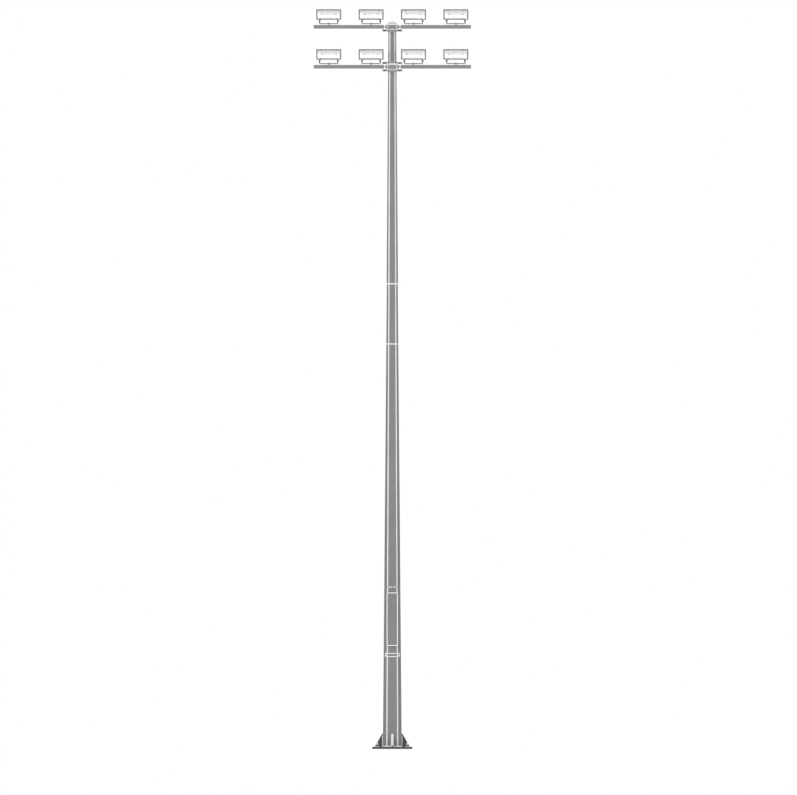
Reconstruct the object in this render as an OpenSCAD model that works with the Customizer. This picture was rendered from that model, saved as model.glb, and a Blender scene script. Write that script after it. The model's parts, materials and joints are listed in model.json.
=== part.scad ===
// High mast floodlight tower: a tapered eight-sided shaft on a gusseted base plate, with an access door near
// the ground and two crossarms that carry four floodlights each.
// Millimetres, +Z up. The front faces -Y, and the origin is the middle of the base plate's underside.

/* [Shaft] */
// Height of the shaft's top above the ground
mast_height = 15965; // [15600:5:17000]
// Width across the flats where the shaft meets the base plate
shaft_width = 415; // [400:5:440]
// Height of the seam below the door section
door_section_foot = 2068; // [1900:1:2150]
// Height of the seam above the door section
door_section_head = 3564; // [3530:1:3800]
// Height of the seam between the lower and middle sections
seam_height = 8910; // [8000:10:9500]
// Height of the upper section's mouth
mouth_height = 10230; // [9800:10:11000]
// Length of the middle section inside the upper one
lap_length = 450; // [300:10:700]
// Wall of the sections below the slip joint
lower_wall = 6; // [5:0.5:8]
// Wall of the upper section
upper_wall = 5; // [4:0.5:7]
// Width lost for each unit of height below the slip joint
lower_taper_share = 0.017; // [0.015:0.0005:0.018]
// Width lost for each unit of height above the slip joint
upper_taper_share = 0.0145; // [0.012:0.0005:0.016]
// Share of the shaft's width that each of its four wide flats takes
flat_share = 0.55; // [0.5:0.01:0.6]

/* [Base] */
// Side of the square base plate
base_side = 880; // [820:10:1000]
// Thickness of the base plate
base_thickness = 50; // [30:1:70]
// Corner radius of the base plate
base_corner = 30; // [10:1:60]
// Spacing of the anchor holes along each side
anchor_pitch = 670; // [640:5:720]
// Radius of an anchor hole
anchor_hole_r = 21; // [18:0.5:25]
// Thickness of a gusset
gusset_thickness = 25; // [12:1:30]
// Reach of a gusset from the shaft along the base plate
gusset_reach = 165; // [120:5:180]
// Height of a gusset along the shaft
gusset_height = 286; // [200:2:340]
// Height of a gusset's outer end
gusset_toe = 25; // [15:1:40]
// Width of a gusset's upper end
gusset_crown = 18; // [10:1:30]

/* [Door] */
// Distance of the door leaf above the seam below it
door_below = 197; // [180:1:220]
// Distance of the door leaf below the seam above it
door_above = 119; // [100:1:140]
// Width of the door leaf
leaf_width = 250; // [240:1:260]
// Corner radius of the door leaf
leaf_corner = 34; // [28:1:45]
// Sheet thickness of the door leaf
leaf_sheet = 4; // [3:0.5:6]
// Depth of the leaf's folded edge, from its outer face
leaf_skirt = 20; // [16:1:24]
// Clearance between the leaf and its frame
door_gap = 5; // [5:0.5:7]
// Thickness of the frame's flat bar
frame_bar = 10; // [6:1:12]
// Distance that the frame stands out from the shaft's front flat
frame_proud = 25; // [20:1:30]
// Distance that the frame reaches in behind the front flat
frame_inset = 45; // [38:1:60]
// Radius of a hinge pin
hinge_pin_r = 5; // [4:0.5:6]
// Radius of a hinge knuckle
knuckle_r = 9; // [8:0.5:10]
// Length of a hinge knuckle
knuckle_tall = 32; // [25:1:40]
// Distance of each hinge from the leaf's nearer end
hinge_end = 190; // [110:5:260]
// Radius of a lock's escutcheon
lock_r = 17; // [14:1:20]
// Distance of each lock from the leaf's nearer end
lock_end = 240; // [140:5:340]

/* [Plate and strips] */
// Height of the name plate's middle above the ground
name_plate_height = 2068; // [1950:1:2100]
// Width of the name plate, seen from the front
name_plate_width = 325; // [260:5:340]
// Height of the name plate
name_plate_tall = 88; // [60:1:110]
// Thickness of the name plate
name_plate_sheet = 3; // [2:0.5:5]
// Length of each drip strip above the door
drip_length = 72; // [50:1:80]
// Gap between the two drip strips
drip_gap = 22; // [12:1:30]
// Height of a drip strip
drip_tall = 26; // [18:1:36]
// Distance that a drip strip stands out from the shaft
drip_depth = 22; // [14:1:32]

/* [Crossarms] */
// Distance of the uppermost saddle plate below the cap
cap_gap = 5; // [4:1:60]
// Distance between the two crossarms' middles
arm_spacing = 878; // [800:1:1000]
// Length of a crossarm
arm_length = 3460; // [3400:10:3800]
// Side of a crossarm's square tube
arm_side = 80; // [70:1:100]
// Wall of a crossarm's tube
arm_wall = 4; // [3:0.5:6]
// Outer corner radius of a crossarm's tube
arm_corner = 9; // [7:0.5:12]
// Thickness of a crossarm's end plate
end_plate = 4; // [3:0.5:8]
// Height of a clamp band
band_tall = 50; // [40:1:56]
// Thickness of a clamp band
band_thick = 10; // [8:0.5:14]
// Distance of the bands above and below a crossarm from its middle
band_offset = 82; // [76:1:84]
// Distance of the uppermost band's middle above its crossarm's middle, where the crossarm hides it
hidden_offset = 12; // [0:1:14]
// Reach of a clamp's ears from the mast's middle
ear_reach = 227; // [200:1:235]
// Thickness of a clamp's ear
ear_thick = 10; // [8:0.5:14]
// Gap between the two halves of a clamp
clamp_split = 8; // [4:1:12]
// Width of the saddle plate behind a crossarm
saddle_width = 260; // [220:5:300]
// Thickness of the saddle plate
saddle_thick = 12; // [8:0.5:16]
// Reach of the saddle plate above and below its crossarm's middle
saddle_half = 72; // [70:1:76]

/* [Floodlights] */
// Distance of the outer floodlights' middles from the crossarm's ends
outer_margin = 332; // [300:2:400]
// Height of the spacer under a yoke
spacer_tall = 20; // [15:1:25]
// Radius of the spacer under a yoke
spacer_r = 22; // [18:1:28]
// Radius of the bolt that a yoke turns on
stud_r = 8; // [6:0.5:10]
// Width of a yoke over its two arms
yoke_width = 425; // [400:1:440]
// Width of the yoke's flat bar
strap_width = 50; // [40:1:54]
// Thickness of the yoke's flat bar
strap_thick = 18; // [10:0.5:20]
// Inner bend radius of the yoke
yoke_bend = 8; // [6:1:16]
// Height of the tilt pivot above the crossarm
pivot_height = 85; // [80:1:95]
// Radius of the tilt bolts
pivot_r = 6; // [5:0.5:8]
// Width of a floodlight
lamp_width = 550; // [520:5:580]
// Height of a floodlight
lamp_tall = 230; // [215:1:250]
// Distance of the housing's underside above the tilt pivot
lamp_clear = 31; // [31:1:40]
// Reach of the floodlight's face in front of the tilt pivot
lamp_reach = 100; // [90:1:105]
// Reach of the housing's back wall behind the tilt pivot
back_reach = 130; // [110:1:150]
// Width of the housing's back wall
back_width = 400; // [360:5:440]
// Height of the housing's back wall
back_tall = 140; // [120:2:160]
// Corner radius of the floodlight's rim
rim_corner = 13; // [12:1:26]
// Depth of the rim
rim_depth = 40; // [32:1:50]
// Width of the rim's face around the glass
rim_face = 23; // [21:1:34]
// Thickness of the rim's front flange
rim_flange = 15; // [12:0.5:18]
// Width of the ledge that the glass rests on
glass_ledge = 8; // [6:0.5:12]
// Thickness of the glass
glass_thick = 5; // [4:0.5:6]
// Distance that the glass lies behind the rim's face
glass_set = 2; // [1:0.5:4]
// Wall of the cast housing
casting = 6; // [4:0.5:8]
// Number of cooling fins on the back wall
fin_count = 8; // [4:2:8]
// Spacing of the cooling fins
fin_pitch = 40; // [34:1:44]
// Thickness of a cooling fin
fin_thick = 6; // [4:0.5:8]
// Depth of a cooling fin
fin_depth = 35; // [20:1:45]
// Height of a cooling fin
fin_tall = 112; // [80:2:118]

/* [Hidden] */
$fn = 48;
// Extra length of a cutting solid past the face that it cuts
overrun = 5;
// Gap between pieces that are screwed, welded or clamped together
fit_gap = 0.3;
// Radial clearance of a hinge pin or pivot bolt in its bore
pin_clearance = 0.08;
// Angle between the points of a rounded corner
corner_step = 15;
// Distance between a hinge's axis and the nearest edges of the leaf
hinge_clear = 2;
// Thickness of the plate that carries a hinge
hinge_plate = 8;
// Height of a lock's escutcheon and of the head in its middle
lock_proud = 8;
lock_head_r = 8;
lock_head_proud = 5;
// Overhang and height of the cap's skirt, its plug in the shaft, and its roof with a flat top
cap_overhang = 8;
cap_skirt = 14;
cap_plug = 30;
cap_rise = 28;
cap_top = 74;
// Nut on the bolt that a yoke turns on, with the bolt's end above it
nut_r = 14;
nut_tall = 13;
stud_end = 5;
// Lugs under the housing, their webs and the heads of the tilt bolts
lug_r = 21;
lug_thick = 12;
lug_web = 34;
bolt_head_r = 13;
bolt_head_tall = 8;
// Step between the rim and the body behind it, and the back wall's corner radius
body_step = 13;
back_corner = 30;
// Thickness of the slices that the housing's body is stretched between
slice = 1;
// Cable gland between the two middle fins
gland_r = 13;
gland_reach = 28;
gland_drop = 40;

steel = "#8a8d8f";
dark_steel = "#5c5e60";
lamp_paint = "#7d8083";
clear_glass = "#dfe7ea";
bright_plate = "#c9cbcc";

row_names = ["upper", "lower"];
lamp_count = 4;
outer_place = arm_length / 2 - outer_margin;
lamp_places = [for (i = [0:lamp_count - 1]) outer_place * (2 * i / (lamp_count - 1) - 1)];

leaf_tall = door_section_head - door_section_foot - door_below - door_above;
door_height = door_section_foot + door_below + leaf_tall / 2;
hinge_offset = leaf_tall / 2 - hinge_end;
lock_offset = leaf_tall / 2 - lock_end;
frame_width = leaf_width - 2 * (leaf_sheet + door_gap);
frame_tall = leaf_tall - 2 * (leaf_sheet + door_gap);
frame_corner = leaf_corner - leaf_sheet - door_gap;
leaf_inner = frame_proud + door_gap;
leaf_outer = leaf_inner + leaf_sheet;
skirt_edge = leaf_outer - leaf_skirt;
hinge_out = skirt_edge - hinge_clear;
hinge_x = -(leaf_width / 2 + hinge_clear + knuckle_r);
lock_x = leaf_width / 2 - 2 * lock_r;
face_lean = atan(lower_taper_share / 2);
gusset_top_r = shaft_width / 2 - lower_taper_share * gusset_height / 2;
yoke_foot = spacer_tall + fit_gap;
lamp_rise = lamp_clear + lamp_tall / 2;
glass_width = lamp_width - 2 * rim_face;
glass_tall = lamp_tall - 2 * rim_face;
body_front = lamp_reach - rim_depth;
glass_back = lamp_reach - glass_set - glass_thick;

mast_nodes = [
    "base_plate", "base_gussets", "shaft_foot", "door_section", "lower_shaft", "middle_shaft", "upper_shaft",
    "mast_cap", "door_frame", "door_leaf", "door_skirt", "door_locks", "door_hinges", "drip_strips",
    "name_plate", "upper_crossarm", "lower_crossarm", "arm_end_plates", "yoke_bolts", "upper_clamp_front",
    "upper_clamp_back", "lower_clamp_front", "lower_clamp_back"
];

// Width across the flats at a height, below and above the slip joint
function lower_width(z) = shaft_width - lower_taper_share * (z - base_thickness);
function upper_width(z) =
    lower_width(mouth_height) + 2 * (upper_wall + fit_gap) - upper_taper_share * (z - mouth_height);

// Corners of the shaft's eight-sided outline, moved in by inset
function octagon(width, inset) =
    let (w = width / 2 - inset, a = flat_share * width / 2 - inset * tan(22.5))
    [[w, -a], [w, a], [a, w], [-a, w], [-w, a], [-w, -a], [-a, -w], [a, -w]];

// Outline of a rectangle with rounded corners, about the origin
function rounded(w, h, r) = [
    for (corner = [[1, 1, 0], [-1, 1, 90], [-1, -1, 180], [1, -1, 270]]) for (a = [0:corner_step:90])
        [corner.x * (w / 2 - r) + r * cos(a + corner.z), corner.y * (h / 2 - r) + r * sin(a + corner.z)]
];

// Height of a crossarm's middle, its bands about it, its clamp's foot and head, and its place in Y
function arm_z(row) = mast_height - cap_gap - saddle_half - row * arm_spacing;
function band_places(row) = [-band_offset, row == 0 ? hidden_offset : band_offset];
function clamp_foot(row) = arm_z(row) - band_offset - band_tall / 2;
function clamp_head(row) = arm_z(row) + max(saddle_half, band_places(row)[1] + band_tall / 2);
function clamp_face(row) = upper_width(clamp_foot(row)) / 2 + fit_gap + band_thick;
function arm_y(row) = -(clamp_face(row) + saddle_thick + arm_side / 2);

module octagon_frustum(z0, z1, width0, width1, inset) {
    lower = [for (p = octagon(width0, inset)) [p.x, p.y, z0]];
    upper = [for (p = octagon(width1, inset)) [p.x, p.y, z1]];
    sides = [for (i = [0:7]) [i, i + 8, (i + 1) % 8 + 8, (i + 1) % 8]];
    polyhedron(concat(lower, upper), concat([[for (i = [0:7]) i], [for (i = [15:-1:8]) i]], sides));
}

module lower_form(z0, z1, inset) {
    octagon_frustum(z0, z1, lower_width(z0), lower_width(z1), inset);
}

module upper_form(z0, z1, inset) {
    octagon_frustum(z0, z1, upper_width(z0), upper_width(z1), inset);
}

module lower_section(z0, z1) {
    difference() {
        lower_form(z0, z1, 0);
        lower_form(z0 - overrun, z1 + overrun, lower_wall);
    }
}

// Places its children on the front flat: X across, Z up the leaning flat, -Y outwards
module on_front_flat(height) {
    translate([0, -lower_width(height) / 2, height]) rotate([-face_lean, 0, 0]) children();
}

// Rounded plate that faces the front, between two distances in front of the XZ plane
module front_plate(w, h, r, from, to) {
    rotate([90, 0, 0]) translate([0, 0, from]) linear_extrude(to - from) polygon(rounded(w, h, r));
}

module base_plate() {
    color(dark_steel) difference() {
        linear_extrude(base_thickness) polygon(rounded(base_side, base_side, base_corner));
        for (x = [-1, 1], y = [-1, 1])
            translate([x * anchor_pitch / 2, y * anchor_pitch / 2, -overrun])
                cylinder(r = anchor_hole_r, h = base_thickness + 2 * overrun);
    }
}

module base_gussets() {
    color(dark_steel) for (turn = [0:90:270])
        rotate(turn) translate([0, gusset_thickness / 2, base_thickness]) rotate([90, 0, 0])
            linear_extrude(gusset_thickness) polygon([
                [shaft_width / 2, 0],
                [shaft_width / 2 + gusset_reach, 0],
                [shaft_width / 2 + gusset_reach, gusset_toe],
                [gusset_top_r + gusset_crown, gusset_height],
                [gusset_top_r, gusset_height]
            ]);
}

module shaft_foot() {
    color(steel) lower_section(base_thickness, door_section_foot);
}

module door_section() {
    color(steel) difference() {
        lower_section(door_section_foot, door_section_head);
        on_front_flat(door_height)
            front_plate(frame_width + 2 * fit_gap, frame_tall + 2 * fit_gap, frame_corner + fit_gap,
                        -frame_inset - overrun, frame_proud);
    }
}

module lower_shaft() {
    color(steel) lower_section(door_section_head, seam_height);
}

module middle_shaft() {
    color(steel) lower_section(seam_height, mouth_height + lap_length);
}

module upper_shaft() {
    color(steel) difference() {
        upper_form(mouth_height, mast_height, 0);
        upper_form(mouth_height - overrun, mast_height + overrun, upper_wall);
    }
}

module mast_cap() {
    width = upper_width(mast_height) + 2 * cap_overhang;
    roof = mast_height + cap_skirt;
    color(bright_plate) {
        octagon_frustum(mast_height, roof, width, width, 0);
        octagon_frustum(roof, roof + cap_rise, width, cap_top, 0);
        upper_form(mast_height - cap_plug, mast_height, upper_wall + fit_gap);
    }
}

module door_frame() {
    color(steel) on_front_flat(door_height) difference() {
        front_plate(frame_width, frame_tall, frame_corner, -frame_inset, frame_proud);
        front_plate(frame_width - 2 * frame_bar, frame_tall - 2 * frame_bar, frame_corner - frame_bar,
                    -frame_inset - overrun, frame_proud + overrun);
    }
}

// Hinge knuckle along Z, standing on its origin
module knuckle(pin_hole_r) {
    difference() {
        cylinder(r = knuckle_r, h = knuckle_tall);
        if (pin_hole_r > 0)
            translate([0, 0, -overrun]) cylinder(r = pin_hole_r, h = knuckle_tall + 2 * overrun);
    }
}

module door_leaf() {
    color(steel) on_front_flat(door_height)
        front_plate(leaf_width, leaf_tall, leaf_corner, leaf_inner, leaf_outer);
}

// Folded edge of the leaf, with its hinge knuckles
module door_skirt() {
    color(steel) on_front_flat(door_height) {
        difference() {
            front_plate(leaf_width, leaf_tall, leaf_corner, skirt_edge, leaf_inner);
            front_plate(leaf_width - 2 * leaf_sheet, leaf_tall - 2 * leaf_sheet, leaf_corner - leaf_sheet,
                        skirt_edge - overrun, leaf_inner + overrun);
        }
        for (side = [-1, 1]) translate([hinge_x, -hinge_out, side * hinge_offset]) {
            knuckle(hinge_pin_r + pin_clearance);
            difference() {
                translate([0, -knuckle_r, 0])
                    cube([-hinge_x - leaf_width / 2 + leaf_sheet / 2, knuckle_r - hinge_clear, knuckle_tall]);
                translate([0, 0, -overrun])
                    cylinder(r = (hinge_pin_r + knuckle_r) / 2, h = knuckle_tall + 2 * overrun);
            }
        }
    }
}

module door_locks() {
    color(bright_plate) on_front_flat(door_height) for (side = [-1, 1])
        translate([lock_x, -leaf_outer, side * lock_offset]) rotate([90, 0, 0]) {
            cylinder(r = lock_r, h = lock_proud);
            cylinder(r = lock_head_r, h = lock_proud + lock_head_proud, $fn = 3);
        }
}

module door_hinges() {
    reach = hinge_out - hinge_x;
    color(steel) difference() {
        on_front_flat(door_height) for (side = [-1, 1])
            translate([hinge_x, -hinge_out, side * hinge_offset - knuckle_tall - fit_gap]) {
                knuckle(0);
                cylinder(r = hinge_pin_r, h = 2 * knuckle_tall + fit_gap);
                translate([-hinge_plate / 2, 0, 0]) cube([hinge_plate, reach, knuckle_tall]);
            }
        lower_form(door_section_foot, door_section_head, 0);
    }
}

module drip_strips() {
    color(steel) on_front_flat(door_section_head) for (side = [-1, 1])
        translate([side * (drip_gap + drip_length) / 2, 0, 0]) rotate([90, 0, 90])
            translate([0, 0, -drip_length / 2]) linear_extrude(drip_length) polygon([
                [0, -drip_tall / 2], [-drip_depth, -drip_tall / 2], [-drip_depth, 0], [0, drip_tall / 2]
            ]);
}

module name_plate() {
    foot = name_plate_height - name_plate_tall / 2;
    color(bright_plate) difference() {
        intersection() {
            lower_form(foot, foot + name_plate_tall, -fit_gap - name_plate_sheet);
            translate([-name_plate_width / 2, -shaft_width, foot])
                cube([name_plate_width, shaft_width, name_plate_tall]);
        }
        lower_form(foot - overrun, foot + name_plate_tall + overrun, -fit_gap);
    }
}

module arm_outline(inset) {
    polygon(rounded(arm_side - 2 * inset, arm_side - 2 * inset, arm_corner - inset));
}

module crossarm(row) {
    tube = arm_length - 2 * end_plate;
    color(steel) translate([-tube / 2, arm_y(row), arm_z(row)]) rotate([90, 0, 90])
        linear_extrude(tube) difference() {
            arm_outline(0);
            arm_outline(arm_wall);
        }
}

module arm_end_plates() {
    color(steel) for (row = [0, 1], x = [-arm_length / 2, arm_length / 2 - end_plate])
        translate([x, arm_y(row), arm_z(row)]) rotate([90, 0, 90]) linear_extrude(end_plate) arm_outline(0);
}

module clamp_half(row, side) {
    tall = clamp_head(row) - clamp_foot(row);
    color(steel) difference() {
        union() {
            for (place = band_places(row)) translate([0, 0, arm_z(row) + place - band_tall / 2]) {
                linear_extrude(band_tall)
                    polygon(octagon(upper_width(clamp_foot(row)), -fit_gap - band_thick));
                translate([-ear_reach, side < 0 ? -clamp_split / 2 - ear_thick : clamp_split / 2, 0])
                    cube([2 * ear_reach, ear_thick, band_tall]);
            }
            if (side < 0)
                translate([-saddle_width / 2, -clamp_face(row) - saddle_thick, arm_z(row) - saddle_half])
                    cube([saddle_width, saddle_thick + band_thick / 2, 2 * saddle_half]);
        }
        upper_form(clamp_foot(row) - overrun, clamp_head(row) + overrun, -fit_gap);
        translate([-ear_reach - overrun, side < 0 ? -clamp_split / 2 : clamp_split / 2 - shaft_width,
                   clamp_foot(row) - overrun])
            cube([2 * (ear_reach + overrun), shaft_width, tall + 2 * overrun]);
    }
}

// Places its children at a floodlight's bolt, on top of its crossarm
module at_lamp(row, i) {
    translate([lamp_places[i], arm_y(row), arm_z(row) + arm_side / 2]) children();
}

module yoke_bolts() {
    nut_foot = yoke_foot + strap_thick + fit_gap;
    color(steel) for (row = [0, 1], i = [0:len(lamp_places) - 1]) at_lamp(row, i) {
        cylinder(r = spacer_r, h = spacer_tall);
        cylinder(r = stud_r, h = nut_foot + nut_tall + stud_end);
        translate([0, 0, nut_foot]) cylinder(r = nut_r, h = nut_tall, $fn = 6);
    }
}

module yoke(row, i) {
    rise = pivot_height + strap_width / 2 - yoke_foot;
    color(lamp_paint) at_lamp(row, i) difference() {
        intersection() {
            translate([0, strap_width / 2, yoke_foot + rise]) rotate([90, 0, 0])
                linear_extrude(strap_width) difference() {
                    polygon(rounded(yoke_width, 2 * rise, yoke_bend + strap_thick));
                    polygon(rounded(yoke_width - 2 * strap_thick, 2 * (rise - strap_thick), yoke_bend));
                    translate([-yoke_width / 2, 0]) square([yoke_width, rise]);
                }
            translate([-yoke_width / 2 - overrun, 0, 0]) rotate([90, 0, 90])
                linear_extrude(yoke_width + 2 * overrun) polygon(concat(
                    [[-strap_width / 2, 0], [strap_width / 2, 0]],
                    [for (a = [0:corner_step:180])
                        [strap_width / 2 * cos(a), pivot_height + strap_width / 2 * sin(a)]]
                ));
        }
        cylinder(r = stud_r + pin_clearance, h = pivot_height);
        translate([0, 0, pivot_height]) rotate([0, 90, 0])
            cylinder(r = pivot_r + pin_clearance, h = yoke_width + 2 * overrun, center = true);
    }
}

// Slab of the housing between two distances in front of the tilt pivot
module lamp_slab(w, h, r, from, to) {
    translate([0, 0, pivot_height + lamp_rise]) front_plate(w, h, r, from, to);
}

module housing_body(inset) {
    hull() {
        lamp_slab(lamp_width - 2 * (body_step + inset), lamp_tall - 2 * (body_step + inset), rim_corner,
                  body_front + inset, body_front + inset + slice);
        lamp_slab(back_width - 2 * inset, back_tall - 2 * inset, back_corner - inset,
                  inset - back_reach, inset - back_reach + slice);
    }
}

// Lug under the housing on the right, with the tilt bolt that passes through the yoke
module lug() {
    lug_face = yoke_width / 2 - strap_thick - fit_gap;
    translate([lug_face - lug_thick, 0, pivot_height]) {
        rotate([0, 90, 0]) cylinder(r = lug_r, h = lug_thick);
        translate([0, -lug_web / 2, 0]) cube([lug_thick, lug_web, lamp_rise]);
        rotate([0, 90, 0]) cylinder(r = pivot_r, h = lug_thick + strap_thick + 2 * fit_gap + bolt_head_tall);
        translate([lug_thick + strap_thick + 2 * fit_gap, 0, 0]) rotate([0, 90, 0])
            cylinder(r = bolt_head_r, h = bolt_head_tall, $fn = 6);
    }
}

module housing(row, i) {
    fin_first = -(fin_count - 1) / 2 * fin_pitch;
    color(lamp_paint) at_lamp(row, i) difference() {
        union() {
            lamp_slab(lamp_width, lamp_tall, rim_corner, body_front, lamp_reach);
            housing_body(0);
            for (side = [0, 1]) mirror([side, 0, 0]) lug();
            for (k = [0:fin_count - 1])
                translate([fin_first + k * fin_pitch - fin_thick / 2, back_reach - casting / 2,
                           pivot_height + lamp_rise - fin_tall / 2])
                    cube([fin_thick, fin_depth + casting / 2, fin_tall]);
            translate([0, back_reach - casting / 2, pivot_height + lamp_rise - gland_drop])
                rotate([-90, 0, 0]) cylinder(r = gland_r, h = gland_reach + casting / 2);
        }
        housing_body(casting);
        lamp_slab(lamp_width - 2 * casting, lamp_tall - 2 * casting, rim_corner - casting,
                  body_front + casting, lamp_reach - rim_flange);
        lamp_slab(glass_width - 2 * glass_ledge, glass_tall - 2 * glass_ledge, rim_corner - casting,
                  body_front + casting, lamp_reach + overrun);
        lamp_slab(glass_width, glass_tall, rim_corner - casting, glass_back, lamp_reach + overrun);
    }
}

module glass(row, i) {
    color(clear_glass, 0.5) at_lamp(row, i)
        lamp_slab(glass_width - 2 * fit_gap, glass_tall - 2 * fit_gap, rim_corner - casting - fit_gap,
                  glass_back, glass_back + glass_thick);
}

base_plate();
base_gussets();
shaft_foot();
door_section();
lower_shaft();
middle_shaft();
upper_shaft();
mast_cap();
door_frame();
door_leaf();
door_skirt();
door_locks();
door_hinges();
drip_strips();
name_plate();
crossarm(0);  // upper_crossarm
crossarm(1);  // lower_crossarm
arm_end_plates();
yoke_bolts();
clamp_half(0, -1);  // upper_clamp_front
clamp_half(0, 1);  // upper_clamp_back
clamp_half(1, -1);  // lower_clamp_front
clamp_half(1, 1);  // lower_clamp_back
for (row = [0, 1], i = [0:len(lamp_places) - 1]) {
    yoke(row, i);
    housing(row, i);
    glass(row, i);
}
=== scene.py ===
# %% [markdown]
# # A high mast floodlight tower
# This lesson dresses a finished construction model. The model already has every piece at its real
# size, so the script never moves or resizes one. It gives each piece its finish, rounds the sharp
# edges that catch the light, and adds what is too small for the construction model: bolts, welds,
# gaskets, reflectors and lamps.

# %% Load the tower
import json
import math

import bmesh
import bpy
from mathutils import Matrix, Vector


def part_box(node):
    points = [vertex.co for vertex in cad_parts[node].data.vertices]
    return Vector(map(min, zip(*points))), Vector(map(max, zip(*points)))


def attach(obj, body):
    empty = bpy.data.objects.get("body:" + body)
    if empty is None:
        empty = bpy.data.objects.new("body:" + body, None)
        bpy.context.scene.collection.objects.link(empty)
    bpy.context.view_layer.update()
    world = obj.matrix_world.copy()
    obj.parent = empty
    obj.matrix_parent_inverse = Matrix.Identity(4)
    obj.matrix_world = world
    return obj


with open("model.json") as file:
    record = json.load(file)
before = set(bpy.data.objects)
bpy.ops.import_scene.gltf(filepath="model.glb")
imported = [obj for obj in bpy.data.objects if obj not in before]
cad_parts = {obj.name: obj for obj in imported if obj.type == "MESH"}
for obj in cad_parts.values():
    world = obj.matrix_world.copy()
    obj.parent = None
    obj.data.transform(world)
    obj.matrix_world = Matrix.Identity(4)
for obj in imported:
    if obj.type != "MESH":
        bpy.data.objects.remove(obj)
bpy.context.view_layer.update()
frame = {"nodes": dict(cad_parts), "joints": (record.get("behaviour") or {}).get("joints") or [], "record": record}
nodes = frame["nodes"]
joints = {joint["name"]: joint for joint in frame["joints"]}
mounts = {mount["name"]: mount for mount in frame["record"]["mounts"]}

# %% [markdown]
# ## The camera
# The view is a straight front elevation with no perspective, so an orthographic camera is the true
# match: every metre takes the same number of pixels at the top and at the foot. Its scale follows
# from the image's width and the size of one pixel, and its place from where the mast's foot and
# axis lie in the image.

# %% Camera
IMAGE_WIDTH_PX = 797
IMAGE_HEIGHT_PX = 795
MAST_AXIS_PX = 392.3
GROUND_PX = 749.0
METRES_PER_PX = 0.022
CAMERA_DISTANCE = 40.0

camera_data = bpy.data.cameras.new("front_view")
camera_data.type = "ORTHO"
camera_data.ortho_scale = IMAGE_WIDTH_PX * METRES_PER_PX
camera = bpy.data.objects.new("front_view", camera_data)
camera.location = (
    (IMAGE_WIDTH_PX / 2 - MAST_AXIS_PX) * METRES_PER_PX,
    -CAMERA_DISTANCE,
    (GROUND_PX - IMAGE_HEIGHT_PX / 2) * METRES_PER_PX,
)
camera.rotation_euler = (math.radians(90), 0, 0)
bpy.context.scene.collection.objects.link(camera)
bpy.context.scene.camera = camera
bpy.context.scene.view_settings.view_transform = "Standard"
print("camera frame is", round(camera_data.ortho_scale, 3), "m wide")

# %% [markdown]
# ## Floor and light
# A studio backdrop is made with the world: rays from the camera and from mirrors see plain white,
# while the light that falls on the tower is lower and is shaped by three wide, soft suns. Suns suit
# a tall object, because their light is as strong at the top as at the foot. The floor is a pale
# plane that takes the shadow, wide enough that its far edge stays out of a low side view.

# %% Floor and light
FLOOR_SIDE = 400.0
FLOOR_COLOUR, FLOOR_ROUGHNESS = (0.9, 0.9, 0.9, 1.0), 0.9
WORLD_LIGHT, WHITE = 0.56, (1.0, 1.0, 1.0, 1.0)
SUNS = {
    "key_light": {"power": 1.12, "spread": 50, "turn": (62, 0, -28)},
    "fill_light": {"power": 0.32, "spread": 90, "turn": (70, 0, 48)},
    "back_light": {"power": 0.5, "spread": 60, "turn": (58, 0, 170)},
}


def place(tree, kind, inputs=None, **settings):
    """Adds a node to a tree. Inputs are plain values or other nodes' output sockets."""
    node = tree.nodes.new(kind)
    for name, value in settings.items():
        setattr(node, name, value)
    for name, value in (inputs or {}).items():
        if isinstance(value, bpy.types.NodeSocket):
            tree.links.new(value, node.inputs[name])
        else:
            node.inputs[name].default_value = value
    return node


def math_node(tree, operation, first, second=0.0, clamp=False):
    """Adds a Math node and returns its output socket."""
    values = {0: first, 1: second}
    node = place(tree, "ShaderNodeMath", values, operation=operation, use_clamp=clamp)
    return node.outputs[0]


world = bpy.data.worlds.new("studio")
bpy.context.scene.world = world
world.use_nodes = True
world.node_tree.nodes.clear()
sky = world.node_tree
ray = place(sky, "ShaderNodeLightPath").outputs
seen = math_node(sky, "MAXIMUM", ray["Is Camera Ray"], ray["Is Glossy Ray"])
seen = math_node(sky, "MAXIMUM", seen, ray["Is Transmission Ray"])
strength = place(sky, "ShaderNodeMapRange", {"Value": seen, "To Min": WORLD_LIGHT, "To Max": 1.0})
shown = {"Color": WHITE, "Strength": strength.outputs[0]}
background = place(sky, "ShaderNodeBackground", shown)
place(sky, "ShaderNodeOutputWorld", {"Surface": background.outputs[0]})

for name, sun in SUNS.items():
    light = bpy.data.lights.new(name, "SUN")
    light.energy = sun["power"]
    light.angle = math.radians(sun["spread"])
    lamp = bpy.data.objects.new(name, light)
    lamp.rotation_euler = [math.radians(angle) for angle in sun["turn"]]
    bpy.context.scene.collection.objects.link(lamp)

floor_bm = bmesh.new()
bmesh.ops.create_grid(floor_bm, x_segments=1, y_segments=1, size=FLOOR_SIDE / 2)
floor_mesh = bpy.data.meshes.new("floor")
floor_bm.to_mesh(floor_mesh)
floor_bm.free()
floor = bpy.data.objects.new("floor", floor_mesh)
bpy.context.scene.collection.objects.link(floor)
floor_material = bpy.data.materials.new("floor_paint")
floor_material.use_nodes = True
floor_shader = floor_material.node_tree.nodes["Principled BSDF"]
floor_shader.inputs["Base Color"].default_value = FLOOR_COLOUR
floor_shader.inputs["Roughness"].default_value = FLOOR_ROUGHNESS
floor_mesh.materials.append(floor_material)
print("made", len(SUNS), "suns and a floor", FLOOR_SIDE, "m wide")

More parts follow.
